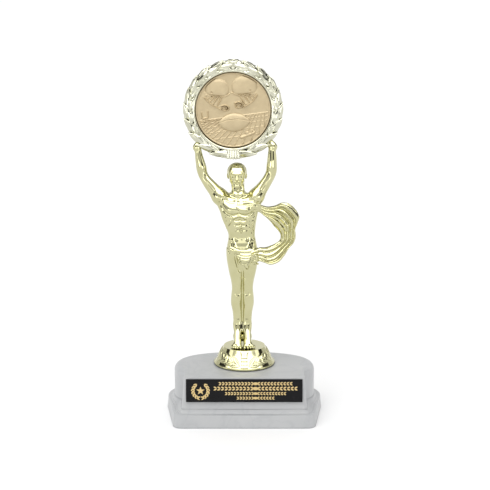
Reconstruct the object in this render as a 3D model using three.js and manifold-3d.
// A figure trophy. A draped figure holds a laurel wreath with a round insert over its head, and stands
// on a domed pedestal that a threaded rod clamps to a weighted, marble-look base with a nameplate.
// Millimetres, +Z up, the front faces -Y. The origin is the middle of the base's footprint.

import * as THREE from "three";
import { LoftGeometry } from "three/addons/geometries/LoftGeometry.js";
import { mergeVertices } from "three/addons/utils/BufferGeometryUtils.js";
import Module from "manifold-3d";

const wasm = await Module();
wasm.setup();

// ---------------------------------------------------------------- driving dimensions, millimetres

const SEAT_GAP = 0.3; // between two pieces that touch
const FIT = 0.35; // round a piece that sits in a hole or a pocket

// Nameplate
const PLATE_LENGTH = 79.4;
const PLATE_HEIGHT = 15.9;
const PLATE_THICKNESS = 0.8;
const TAPE_THICKNESS = 0.5;
const TAPE_INSET = 2; // how far each tape stays inside what it holds

// Pedestal
const PEDESTAL_RADIUS = 21.3;
const PEDESTAL_TOP_RADIUS = 15;
const PEDESTAL_LIP = 1.4; // height of the plain band round the foot
const PEDESTAL_STEP = 0.6; // how far the band stands out
const PEDESTAL_HEIGHT = 12.5;
const PEDESTAL_WALL = 2;
const PEDESTAL_DECK = 4.4; // thickness under the feet
const BELL_FOOT_BOW = 0.5; // how far the bell leans in halfway up
const BELL_TOP_BOW = 1.6; // how far its shoulder stands out of the deck
const NUT_BOSS_WALL = 1.8;

// Base: a plinth, a cove and an oval drum, which carries the pedestal on its top and has a flat boss
// on its front for the nameplate. Each is as much larger than the one that it holds as its margins say.
const BOSS_MARGIN = 1.5; // boss to nameplate, at the sides of the boss's top
const BOSS_SPREAD = 1.8; // how much wider each side is at its foot
const BOSS_LEAN = THREE.MathUtils.degToRad(4);
const BOSS_CORNER = 1.5;
const BOSS_EDGE = 0.6;
const BOSS_DEPTH = 7.25; // how far the boss's foot stands out of the drum
const PLATE_LIFT = 5; // boss's foot to the nameplate's lower edge
const DRUM_SIDE = 6; // drum's side to the boss's foot
const DRUM_EDGE = 4.5; // radius of the rounding round the top
const DRUM_RIM = 2.95; // that rounding to the pedestal
const COVE_HEIGHT = 5;
const PLINTH_HEIGHT = 9;
const PLINTH_SIDE = 5.75; // plinth's widest to the drum's side
const PLINTH_CORNER_SIDE = 5.5; // plinth's front corner to the boss's foot
const PLINTH_LEDGE = 1.5; // plinth's front to the boss's foot
const PLINTH_BACK_LEDGE = 5.25;
const PLINTH_WIDEST = 8; // how far behind the axis the straight sides end
const PLINTH_CORNER = 3;
const PLINTH_DRAFT = 0.8; // the wall leans in by this much
const BASE_WALL = 2.5;
const OVAL_POWER = 2.3; // between an ellipse, 2, and a rectangle

// Under the base
const PAD_THICKNESS = 1.5;
const WEIGHT_CLEARANCE = 0.6; // filler to shell

// Rod and its fasteners
const ROD_DIAMETER = 6.35;
const ROD_HOLE_CLEARANCE = 0.5;
const NUT_FLATS = 1.75 * ROD_DIAMETER;
const NUT_THICKNESS = 0.86 * ROD_DIAMETER;
const WASHER_DIAMETER = 2.9 * ROD_DIAMETER;
const WASHER_THICKNESS = 1.6;
const ROD_STANDOUT = 1.2; // rod past the lower nut

// Figure
const FIGURE_HEIGHT = 129.4; // soles to crown
const STATION_HEIGHT = 129.4; // the height that the figure's stations are written for
const FIGURE_WALL = 2.2;
const PARTING_GAP = 0.3; // between the front and back halves
const PEG_RADIUS = 2;
const PEG_LENGTH = 2.6;
const PEG_ROOT = 2; // how far each peg runs up into its foot
const PEG_SIDES = 16;

// Wreath and insert
const INSERT_DIAMETER = 50.8;
const INSERT_THICKNESS = 1.6;
const INSERT_TAPE_THICKNESS = 0.6;
const INSERT_RIM = 1;
const INSERT_RELIEF = 0.4; // depth of its field below the rim
const LEAF_BAND = 8.4; // wreath's width round the insert
const LEAF_TIPS = 20;
const LEAF_STEP = 0.8; // how far a leaf tip stands out of the outline
const WREATH_FRONT = 4.5; // from the parting plane
const WREATH_BACK = 3.2;
const WREATH_BEVEL = 2.2; // at its front and back edges
const TIE_HALF_WIDTH = 5.5;
const WREATH_OFFSET = -7.5; // the figure leans, so the wreath is off the axis
const HEAD_TO_WREATH = 2.3;

// ---------------------------------------------------------------- derived places

const bossTopSide = PLATE_LENGTH / 2 + BOSS_MARGIN;
const bossFootSide = bossTopSide + BOSS_SPREAD;
const drumHalfWidth = bossFootSide + DRUM_SIDE;
const drumHalfDepth = PEDESTAL_RADIUS + DRUM_RIM + DRUM_EDGE;
const drumHeight = PLATE_LIFT + PLATE_HEIGHT + BOSS_EDGE;
const bossFootFront = drumHalfDepth + BOSS_DEPTH; // from the column's axis, as the next ones are
const plinthFront = bossFootFront + PLINTH_LEDGE;
const plinthBack = drumHalfDepth + PLINTH_BACK_LEDGE;
const plinthHalfWidth = drumHalfWidth + PLINTH_SIDE;
const plinthFrontHalfWidth = bossFootSide + PLINTH_CORNER_SIDE;
const axisY = (plinthFront - plinthBack) / 2; // centres the footprint on the origin
const coveTop = PLINTH_HEIGHT + COVE_HEIGHT;
const baseTop = coveTop + drumHeight;
const rodHoleRadius = ROD_DIAMETER / 2 + ROD_HOLE_CLEARANCE;

const weightBottom = PAD_THICKNESS + SEAT_GAP;
const weightTop = baseTop - BASE_WALL - SEAT_GAP;
const nutPocketRadius = WASHER_DIAMETER / 2 + FIT;
const nutPocketTop = weightBottom + ROD_STANDOUT + NUT_THICKNESS + WASHER_THICKNESS + 2 * SEAT_GAP;

const pedestalBottom = baseTop + SEAT_GAP;
const pedestalTop = pedestalBottom + PEDESTAL_HEIGHT;
const deckBottom = pedestalTop - PEDESTAL_DECK;
const captiveNutTop = deckBottom - SEAT_GAP;
const captiveNutBottom = captiveNutTop - NUT_THICKNESS;

const soleZ = pedestalTop + SEAT_GAP;
const figureScale = FIGURE_HEIGHT / STATION_HEIGHT;
const crownZ = soleZ + FIGURE_HEIGHT;
const recessRadius = INSERT_DIAMETER / 2 + FIT;
const wreathRadius = recessRadius + LEAF_BAND;
const wreathZ = crownZ + HEAD_TO_WREATH + wreathRadius;
const halfParting = PARTING_GAP / 2;

// ---------------------------------------------------------------- solids

const FAR = 400; // larger than the object, for cutting tools
const UP = new THREE.Vector3(0, 0, 1);
const BACKWARDS = new THREE.Vector3(0, 1, 0);

function toSolid(geometry) {
  const bare = new THREE.BufferGeometry();
  bare.setAttribute("position", geometry.getAttribute("position"));
  bare.setIndex(geometry.index);
  const merged = mergeVertices(bare, 1e-4);
  const mesh = new wasm.Mesh({
    numProp: 3,
    vertProperties: merged.attributes.position.array,
    triVerts: new Uint32Array(merged.index.array),
  });
  return new wasm.Manifold(mesh);
}

function toGeometry(solid) {
  const { vertProperties, triVerts } = solid.getMesh();
  const indexed = new THREE.BufferGeometry();
  indexed.setAttribute("position", new THREE.BufferAttribute(vertProperties, 3));
  indexed.setIndex(new THREE.BufferAttribute(triVerts, 1));
  const faceted = indexed.toNonIndexed();
  faceted.computeVertexNormals();
  return faceted;
}

const join = (...solids) => solids.reduce((whole, next) => whole.add(next));
const cut = (solid, ...tools) => tools.reduce((left, tool) => left.subtract(tool), solid);

// A solid of revolution about +Z, from [radius, z] points that start and end on the axis, or close up.
function turned(points, segments = 48) {
  const profile = points.map(([radius, z]) => new THREE.Vector2(radius, z));
  return toSolid(new THREE.LatheGeometry(profile, segments).rotateX(Math.PI / 2));
}

function rod(radius, bottom, top, segments = 32) {
  return turned([[0, bottom], [radius, bottom], [radius, top], [0, top]], segments);
}

function box(low, high) {
  const [width, depth, height] = high.map((value, i) => value - low[i]);
  const centre = high.map((value, i) => (value + low[i]) / 2);
  return toSolid(new THREE.BoxGeometry(width, depth, height).translate(...centre));
}

function ball(centre, radii, segments = 16) {
  const sphere = new THREE.SphereGeometry(1, segments, Math.round(segments * 0.6));
  return toSolid(sphere.rotateX(Math.PI / 2).scale(...radii).translate(...centre));
}

function hexagon(acrossFlats, bottom, top) {
  return rod(acrossFlats / Math.sqrt(3), bottom, top, 6);
}

// A solid skinned over rings of points that all have the same count.
function skinned(rings) {
  const solid = toSolid(new LoftGeometry(rings, { capStart: true, capEnd: true }));
  if (solid.volume() > 0) return solid;
  const turnedRings = rings.map((ring) => [...ring].reverse());
  return toSolid(new LoftGeometry(turnedRings, { capStart: true, capEnd: true }));
}

// A limb, trunk or band: elliptical sections along a smooth path. A station is
// [x, y, z, radius across, radius along `depth`], and `depth` stays square to the path's plane.
function limb(stations, { depth = BACKWARDS, sides = 10, steps = 1, inset = 0 } = {}) {
  const path = new THREE.CatmullRomCurve3(stations.map(([x, y, z]) => new THREE.Vector3(x, y, z)));
  const sizes = new THREE.CatmullRomCurve3(
    stations.map(([, , , across, along]) => new THREE.Vector3(across - inset, along - inset, 0)),
  );
  const count = (stations.length - 1) * steps;
  const rings = [];
  for (let i = 0; i <= count; i++) {
    const centre = path.getPoint(i / count);
    const size = sizes.getPoint(i / count);
    const across = new THREE.Vector3().crossVectors(depth, path.getTangent(i / count)).normalize();
    const along = new THREE.Vector3().crossVectors(path.getTangent(i / count), across).normalize();
    const ring = [];
    for (let side = 0; side < sides; side++) {
      const angle = (side / sides) * 2 * Math.PI;
      ring.push(
        centre.clone()
          .addScaledVector(across, size.x * Math.cos(angle))
          .addScaledVector(along, size.y * Math.sin(angle)),
      );
    }
    rings.push(ring);
  }
  return skinned(rings);
}

// ---------------------------------------------------------------- base

const smoothMax = (a, b, radius) => {
  const overlap = Math.max(radius - Math.abs(a - b), 0);
  return Math.max(a, b) + (overlap * overlap) / (4 * radius);
};

const oval = (x, y, halfWidth, halfDepth) =>
  (Math.abs(x / halfWidth) ** OVAL_POWER + Math.abs(y / halfDepth) ** OVAL_POWER) ** (1 / OVAL_POWER) - 1;

const bossFront = (height) => bossFootFront - height * Math.tan(BOSS_LEAN);
const bossSide = (height) => bossTopSide + BOSS_SPREAD * (1 - height / drumHeight);

// Each outline is negative inside and is drawn in by `inset`. The column's axis is at 0, 0.
function plinthOutline(x, y, inset) {
  const halfWidth = plinthHalfWidth - inset;
  const back = plinthBack - PLINTH_WIDEST - inset;
  if (y > PLINTH_WIDEST) return oval(x, y - PLINTH_WIDEST, halfWidth, back);
  const narrowing = (plinthHalfWidth - plinthFrontHalfWidth) / (plinthFront + PLINTH_WIDEST);
  const side = Math.abs(x) - halfWidth + narrowing * (PLINTH_WIDEST - y);
  return smoothMax(inset - plinthFront - y, side, 2 * PLINTH_CORNER);
}

const drumOutline = (x, y, inset) => oval(x, y, drumHalfWidth - inset, drumHalfDepth - inset);

function footOutline(x, y, inset) {
  const front = inset - bossFootFront - y;
  const side = Math.abs(x) - bossFootSide + inset;
  const boss = Math.max(smoothMax(front, side, 2 * BOSS_CORNER), y);
  return Math.min(drumOutline(x, y, inset), boss);
}

function reach(outline, angle, inset) {
  let inside = 0;
  let outside = plinthHalfWidth + plinthFront;
  for (let i = 0; i < 30; i++) {
    const radius = (inside + outside) / 2;
    if (outline(radius * Math.cos(angle), radius * Math.sin(angle), inset) < 0) inside = radius;
    else outside = radius;
  }
  return inside;
}

// The rays are evenly spread, with one more on each corner of the boss and the plinth.
const corners = [
  [bossFootSide, -bossFootFront],
  [plinthFrontHalfWidth, -plinthFront],
  [plinthHalfWidth, PLINTH_WIDEST],
];
const rays = [
  ...Array.from({ length: 48 }, (_, i) => (i / 48) * 2 * Math.PI),
  ...[-1, 1].flatMap((side) => corners.map(([x, y]) => Math.atan2(y, side * x))),
]
  .map((angle) => THREE.MathUtils.euclideanModulo(angle, 2 * Math.PI))
  .sort((a, b) => a - b);

function baseRing(outline, z, inset) {
  return rays.map((angle) => {
    const radius = reach(outline, angle, inset);
    return new THREE.Vector3(radius * Math.cos(angle), radius * Math.sin(angle), z);
  });
}

// The plinth's wall, and a hollow slope from its edge up to the foot of the drum and the boss
function plinthBlock(inset, bottom) {
  const edge = PLINTH_HEIGHT - inset;
  const plinthRing = baseRing(plinthOutline, edge, inset + PLINTH_DRAFT);
  const footRing = baseRing(footOutline, edge, inset);
  const slope = [0.15, 0.5, 1].map((rise) =>
    plinthRing.map((point, i) =>
      point.clone().lerp(footRing[i], Math.sqrt(rise)).setZ(edge + rise * COVE_HEIGHT)));
  return skinned([baseRing(plinthOutline, bottom, inset), plinthRing, ...slope]);
}

function drumBlock(inset, top) {
  const edge = Math.max(DRUM_EDGE - inset, BOSS_EDGE);
  const rounding = [0, 30, 60, 90].map(THREE.MathUtils.degToRad).map((angle) =>
    baseRing(drumOutline, top - edge * (1 - Math.sin(angle)), inset + edge * (1 - Math.cos(angle))));
  return skinned([baseRing(drumOutline, PLINTH_HEIGHT, inset), ...rounding]);
}

const bossBack = bossFootFront - 4 * BOSS_DEPTH; // well inside the drum

function bossRing(height, z, inset) {
  const side = bossSide(height) - inset;
  const front = bossFront(height) - inset;
  const outline = new THREE.Path();
  outline.moveTo(side, -bossBack);
  outline.lineTo(-side, -bossBack);
  outline.absarc(BOSS_CORNER - side, BOSS_CORNER - front, BOSS_CORNER, Math.PI, 1.5 * Math.PI);
  outline.absarc(side - BOSS_CORNER, BOSS_CORNER - front, BOSS_CORNER, 1.5 * Math.PI, 2 * Math.PI);
  return outline.getPoints(3).map(({ x, y }) => new THREE.Vector3(x, y, z));
}

function bossBlock(inset, top) {
  return skinned([
    bossRing(0, coveTop - inset - 1, inset),
    bossRing(drumHeight - BOSS_EDGE, top - BOSS_EDGE, inset),
    bossRing(drumHeight, top, inset + BOSS_EDGE),
  ]);
}

const baseBlock = (inset, bottom, top) =>
  join(plinthBlock(inset, bottom), drumBlock(inset, top), bossBlock(inset, top));

function makeBaseShell() {
  const hollow = baseBlock(BASE_WALL, -1, baseTop - BASE_WALL);
  return cut(baseBlock(0, 0, baseTop), hollow, rod(rodHoleRadius, 0, FAR));
}

function makeBaseWeight() {
  const inset = BASE_WALL + WEIGHT_CLEARANCE;
  const block = baseBlock(inset, weightBottom, weightTop);
  const pocket = rod(nutPocketRadius, 0, nutPocketTop);
  return cut(block, rod(rodHoleRadius, 0, FAR), pocket);
}

function makeBottomPad() {
  const inset = BASE_WALL + WEIGHT_CLEARANCE;
  return skinned([0, PAD_THICKNESS].map((z) => baseRing(plinthOutline, z, inset)));
}

// ---------------------------------------------------------------- rod and fasteners

const washerTop = nutPocketTop - SEAT_GAP;
const washerBottom = washerTop - WASHER_THICKNESS;
const lowerNutTop = washerBottom - SEAT_GAP;
const lowerNutBottom = lowerNutTop - NUT_THICKNESS;
const nutBore = ROD_DIAMETER / 2 + FIT;

const makeWasher = () => cut(rod(WASHER_DIAMETER / 2, washerBottom, washerTop), rod(nutBore, 0, FAR));
const makeNut = (bottom) => cut(hexagon(NUT_FLATS, bottom, bottom + NUT_THICKNESS), rod(nutBore, 0, FAR));
const makeRod = () => rod(ROD_DIAMETER / 2, lowerNutBottom - ROD_STANDOUT + SEAT_GAP, captiveNutTop);

// ---------------------------------------------------------------- pedestal

// The bell's side, bowed out from the foot band to the rim of the deck
function bellProfile(inset) {
  const foot = PEDESTAL_RADIUS - PEDESTAL_STEP;
  const bell = new THREE.CubicBezierCurve(
    new THREE.Vector2(foot, PEDESTAL_LIP),
    new THREE.Vector2(foot - BELL_FOOT_BOW, 0.5 * PEDESTAL_HEIGHT),
    new THREE.Vector2(PEDESTAL_TOP_RADIUS + BELL_TOP_BOW, 0.85 * PEDESTAL_HEIGHT),
    new THREE.Vector2(PEDESTAL_TOP_RADIUS, PEDESTAL_HEIGHT),
  );
  return bell.getPoints(6).map(({ x, y }) => [x - inset, pedestalBottom + y]);
}

function makePedestal() {
  const outside = turned([
    [0, pedestalBottom],
    [PEDESTAL_RADIUS, pedestalBottom],
    [PEDESTAL_RADIUS, pedestalBottom + PEDESTAL_LIP],
    ...bellProfile(0),
    [0, pedestalTop],
  ]);
  const nutPocketFlats = NUT_FLATS + 2 * FIT;
  const bossRadius = nutPocketFlats / Math.sqrt(3) + NUT_BOSS_WALL;
  const cavityWall = bellProfile(PEDESTAL_WALL)
    .filter(([radius, z]) => z < deckBottom && radius > bossRadius + 1);
  const [[cavityRadius]] = cavityWall;
  const cavity = turned([
    [bossRadius, pedestalBottom - 1],
    [cavityRadius, pedestalBottom - 1],
    ...cavityWall,
    [bossRadius, deckBottom],
    [bossRadius, pedestalBottom - 1],
  ]);
  const pegHoles = ankles.map((x) =>
    rod(PEG_RADIUS + FIT, pedestalTop - PEG_LENGTH - FIT, FAR, PEG_SIDES).translate([x, 0, 0]));
  const pocket = hexagon(nutPocketFlats, 0, deckBottom);
  return cut(outside, cavity, pocket, ...pegHoles);
}

// ---------------------------------------------------------------- figure

// The stations grow with FIGURE_HEIGHT, from the soles up.
const onFigure = ([x, y, z, ...sizes]) => [
  x * figureScale,
  y * figureScale,
  soleZ + z * figureScale,
  ...sizes.map((size) => size * figureScale),
];

// Sideways places, at the stations' size
const LEFT_LEG = { ankle: -4.4, hip: -6.4, toe: -5.2 };
const RIGHT_LEG = { ankle: 1.9, hip: 3.4, toe: 5.2 };
const ankles = [LEFT_LEG, RIGHT_LEG].map(({ ankle }) => ankle * figureScale);

// Trunk from the crotch to the neck: x, y, z above the soles, half-width, half-depth
const TRUNK = [
  [-1.5, 0.6, 55, 8.5, 6],
  [-1.6, 0.7, 60, 10.6, 7.2],
  [-1.6, 0.6, 68, 10.8, 7.4],
  [-1.6, 0, 74, 10.2, 6.4],
  [-1.7, -0.3, 79, 9.3, 5.8],
  [-2.7, -0.4, 85, 10.4, 6.4],
  [-3.4, -0.5, 92, 12.8, 7.6],
  [-3.7, -0.4, 98, 14.4, 8.2],
  [-4, 0, 103, 14.6, 7],
  [-4.1, 0.4, 106.5, 9, 5.4],
  [-4.1, 0.3, 108.5, 5.4, 5],
  [-4.4, -0.2, 114.5, 4.6, 4.8],
];

// One leg from the ankle to the hip, with the knee at 41
const leg = ({ ankle, hip }) => [
  [ankle, 0.8, 1.5, 3.3, 4],
  [ankle, 0.8, 8, 3.1, 3.5],
  [ankle, 0.9, 17, 3.1, 3.6],
  [ankle - 0.1, 1.3, 25, 3.7, 4.6],
  [ankle, 1.2, 32, 4.1, 5],
  [ankle, 0.2, 41, 3.7, 4.4],
  [(ankle + hip) / 2, -0.2, 50, 4.5, 5.3],
  [hip, 0.2, 59, 5.5, 6.6],
  [hip, 0.6, 67, 5.3, 6.8],
];

const foot = ({ ankle, toe }) => [
  [ankle, 4.6, 1.3, 2.2, 1.3],
  [ankle, 3, 2.2, 2.9, 2.1],
  [ankle, -1, 2.4, 3.1, 2.3],
  [(ankle + toe) / 2, -6, 1.6, 3.3, 1.5],
  [toe, -9.6, 1.1, 3, 1],
  [toe, -10.9, 1, 2, 0.8],
];

// Upper arm from the shoulder to just short of the elbow, at the figure's own size
const SHOULDER_LEFT = [-16.5, 0.2, 103, 5.2, 5.4];
const UPPER_ARM_LEFT = [[-19.6, 0.4, 108.6, 4.8, 5], [-24.4, 0.2, 115.2, 4.1, 4.4]];
const ELBOW_LEFT = [-28.4, -0.3, 121, 3.5, 3.7];
const SHOULDER_RIGHT = [8.6, 0.2, 103, 5.2, 5.4];
const UPPER_ARM_RIGHT = [[10.8, 0.4, 108.6, 4.6, 5], [14.4, 0.2, 115, 4, 4.4]];
const ELBOW_RIGHT = [17.8, -0.3, 120.6, 3.5, 3.7];
const SHOULDER_RADIUS = 5.4;
const FOREARM_RADII = [3.2, 3.5];
const WRIST_RADIUS = 2.2;
const HAND_RADIUS = 3.8;
const GRIP_ANGLE = THREE.MathUtils.degToRad(45); // each hand, from straight below the wreath's centre

// The forearm ends in a hand on the wreath's rim, wherever the rim is.
function arm(shoulder, upperArm, elbow, side) {
  const grip = new THREE.Vector3(
    WREATH_OFFSET + side * wreathRadius * Math.sin(GRIP_ANGLE),
    0,
    wreathZ - wreathRadius * Math.cos(GRIP_ANGLE),
  );
  const upper = [shoulder, ...upperArm, elbow].map(onFigure);
  const elbowAt = new THREE.Vector3(...upper.at(-1));
  const fleshy = elbowAt.clone().lerp(grip, 0.3);
  const wrist = elbowAt.clone().lerp(grip, 0.8);
  const radius = WRIST_RADIUS * figureScale;
  const stations = [
    ...upper,
    [...fleshy, ...FOREARM_RADII.map((size) => size * figureScale)],
    [...wrist, radius, radius],
    [...grip, 1.2 * radius, radius],
  ];
  const round = (centre, size) => ball([...centre], [1, 1, 1].map(() => size * figureScale), 12);
  return join(limb(stations), round(grip, HAND_RADIUS), round(upper[0].slice(0, 3), SHOULDER_RADIUS));
}

// The sash crosses the chest, flies out beside the arm, comes back to the hip and is gathered in front.
const SASH_LOOP = [
  [4, -2, 99.5, 3, 3],
  [12, -1, 98.5, 3.6, 2.8],
  [20, -1, 96.8, 5.2, 2.6],
  [30, 0, 90.8, 7, 3],
  [31.2, 0, 79, 5.6, 3],
  [25.6, 0, 69, 5.4, 3],
  [16.4, -1, 64, 5.6, 3.2],
  [8, -2, 65, 5, 3.4],
  [2, -3, 65, 4, 3],
];
const SASH_CHEST = [
  [-8, -3, 106.5, 2.2, 1.6],
  [-5, -7, 102.8, 2.6, 1.5],
  [2, -8.6, 100, 2.6, 1.5],
  [9, -5, 99, 2.6, 2],
];
const SASH_HIP = [
  [-11, -1, 71.5, 1.8, 1.6],
  [-8, -6, 70.8, 2, 1.6],
  [-2, -7.4, 68, 4, 2.4],
  [4, -7.4, 64.5, 6, 3],
  [8, -4, 62, 4, 3],
];

const TRUNK_VOID = TRUNK.slice(1, 9); // the moulding is hollow from the hips to the shoulders
const HEAD = { centre: [-4.95, -1.4, 121.4], radii: [6.5, 7.8, 8] };

function makeFigure() {
  const figure = (stations, options) => limb(stations.map(onFigure), options);
  const head = ball(onFigure(HEAD.centre), HEAD.radii.map((radius) => radius * figureScale));
  const legs = [LEFT_LEG, RIGHT_LEG].map((side) => figure(leg(side)));
  const feet = [LEFT_LEG, RIGHT_LEG].map((side) => figure(foot(side), { depth: UP }));
  const soles = box([-FAR, -FAR, 0], [FAR, FAR, soleZ]);
  const body = cut(join(figure(TRUNK, { sides: 18, steps: 2 }), head, ...legs, ...feet), soles);
  const pegs = ankles.map((x) =>
    rod(PEG_RADIUS, pedestalTop - PEG_LENGTH, soleZ + PEG_ROOT, PEG_SIDES).translate([x, 0, 0]));
  const arms = [
    arm(SHOULDER_LEFT, UPPER_ARM_LEFT, ELBOW_LEFT, -1),
    arm(SHOULDER_RIGHT, UPPER_ARM_RIGHT, ELBOW_RIGHT, 1),
  ];
  const bands = [SASH_CHEST, SASH_HIP].map((stations) => figure(stations));
  const sash = [figure(SASH_LOOP, { steps: 2 }), ...bands];
  const hollow = figure(TRUNK_VOID, { sides: 12, inset: FIGURE_WALL });
  return cut(join(body, ...pegs, ...arms, ...sash, makeWreath()), hollow);
}

// ---------------------------------------------------------------- wreath and insert

// Puts a solid that was made about +Z on the wreath's centre, with its top towards the front.
function onWreath(solid) {
  return solid.rotate([90, 0, 0]).translate([WREATH_OFFSET, 0, wreathZ]);
}

// Leaves climb both sides from the bottom, so each tip steps out of the outline and falls back.
function leafRing(height, inset) {
  const ring = [];
  const pointsPerLeaf = 3;
  const count = LEAF_TIPS * pointsPerLeaf;
  for (let i = 0; i < count; i++) {
    const turn = i / count;
    const climb = 2 * Math.min(turn, 1 - turn);
    const step = ((climb * LEAF_TIPS) / 2) % 1;
    const radius = wreathRadius - inset - LEAF_STEP * (1 - step);
    const angle = turn * 2 * Math.PI - Math.PI / 2;
    ring.push(new THREE.Vector3(radius * Math.cos(angle), radius * Math.sin(angle), height));
  }
  return ring;
}

function makeWreath() {
  const ring = skinned([
    leafRing(-WREATH_BACK, WREATH_BEVEL),
    leafRing(-WREATH_BACK / 3, 0),
    leafRing(WREATH_FRONT / 3, 0),
    leafRing(WREATH_FRONT, WREATH_BEVEL),
  ]);
  const recess = rod(recessRadius, 0, FAR, 48);
  const tieSize = [TIE_HALF_WIDTH, LEAF_BAND / 2, WREATH_FRONT];
  const tie = ball([0, LEAF_BAND / 2 - wreathRadius, 0], tieSize, 12);
  return onWreath(cut(join(ring, tie), recess));
}

const tapeBack = -halfParting;
const tapeFront = tapeBack + SEAT_GAP + INSERT_TAPE_THICKNESS;
const insertBack = tapeFront + SEAT_GAP;
const insertRadius = INSERT_DIAMETER / 2;

const makeInsertTape = () => onWreath(rod(insertRadius - TAPE_INSET, tapeBack + SEAT_GAP, tapeFront, 48));

function makeInsert() {
  const front = insertBack + INSERT_THICKNESS;
  return onWreath(turned([
    [0, insertBack],
    [insertRadius, insertBack],
    [insertRadius, front],
    [insertRadius - INSERT_RIM, front],
    [insertRadius - INSERT_RIM - INSERT_RELIEF, front - INSERT_RELIEF],
    [0, front - INSERT_RELIEF],
  ], 48));
}

// The two halves meet at the parting plane through the axis.
function makeHalves() {
  const whole = makeFigure();
  return [
    whole.intersect(box([-FAR, -FAR, -FAR], [FAR, -halfParting, FAR])),
    whole.intersect(box([-FAR, halfParting, -FAR], [FAR, FAR, FAR])),
  ];
}

// ---------------------------------------------------------------- nameplate

// A sheet on the boss's leaning face, from `back` to `front` of it.
function onBoss(halfLength, halfHeight, back, front) {
  const middle = PLATE_LIFT + PLATE_HEIGHT / 2;
  const face = bossFront(middle);
  const sheet = box([-halfLength, -front, -halfHeight], [halfLength, -back, halfHeight]);
  return sheet.rotate([-THREE.MathUtils.radToDeg(BOSS_LEAN), 0, 0]).translate([0, -face, coveTop + middle]);
}

const plateBack = SEAT_GAP + TAPE_THICKNESS + SEAT_GAP;

const makeNameplateTape = () =>
  onBoss(PLATE_LENGTH / 2 - TAPE_INSET, PLATE_HEIGHT / 2 - TAPE_INSET, SEAT_GAP, SEAT_GAP + TAPE_THICKNESS);

const makeNameplate = () =>
  onBoss(PLATE_LENGTH / 2, PLATE_HEIGHT / 2, plateBack, plateBack + PLATE_THICKNESS);

// ---------------------------------------------------------------- materials and assembly

const material = (color, roughness, metalness) =>
  new THREE.MeshStandardMaterial({ color, roughness, metalness });

const marble = material(0xe9e9ea, 0.3, 0);
const plaster = material(0xb9b4a8, 0.9, 0);
const felt = material(0x2f4f3a, 1, 0);
const zinc = material(0xb8bcc0, 0.35, 1);
const brightGold = material(0xd8cf95, 0.12, 1);
const satinGold = material(0xc9ad80, 0.45, 0.7);
const foam = material(0xf2f2ee, 0.9, 0);
const blackBrass = material(0x14130f, 0.3, 0.6);

function piece(name, solid, look) {
  const mesh = new THREE.Mesh(toGeometry(solid), look);
  mesh.name = name;
  return mesh;
}

const base = new THREE.Group();
base.add(
  piece("base_shell", makeBaseShell(), marble),
  piece("base_weight", makeBaseWeight(), plaster),
  piece("bottom_pad", makeBottomPad(), felt),
  piece("nameplate_tape", makeNameplateTape(), foam),
  piece("nameplate", makeNameplate(), blackBrass),
);

const clamp = new THREE.Group();
clamp.add(
  piece("flat_washer", makeWasher(), zinc),
  piece("hex_nut", makeNut(lowerNutBottom), zinc),
  piece("threaded_rod", makeRod(), zinc),
  piece("captive_nut", makeNut(captiveNutBottom), zinc),
);

const [frontHalf, backHalf] = makeHalves();
const column = new THREE.Group();
column.add(
  piece("pedestal", makePedestal(), brightGold),
  piece("figure_front", frontHalf, brightGold),
  piece("figure_back", backHalf, brightGold),
  piece("insert_tape", makeInsertTape(), foam),
  piece("insert_disc", makeInsert(), satinGold),
);

const trophy = new THREE.Group();
trophy.add(base, clamp, column);
trophy.position.y = axisY;

export default trophy;
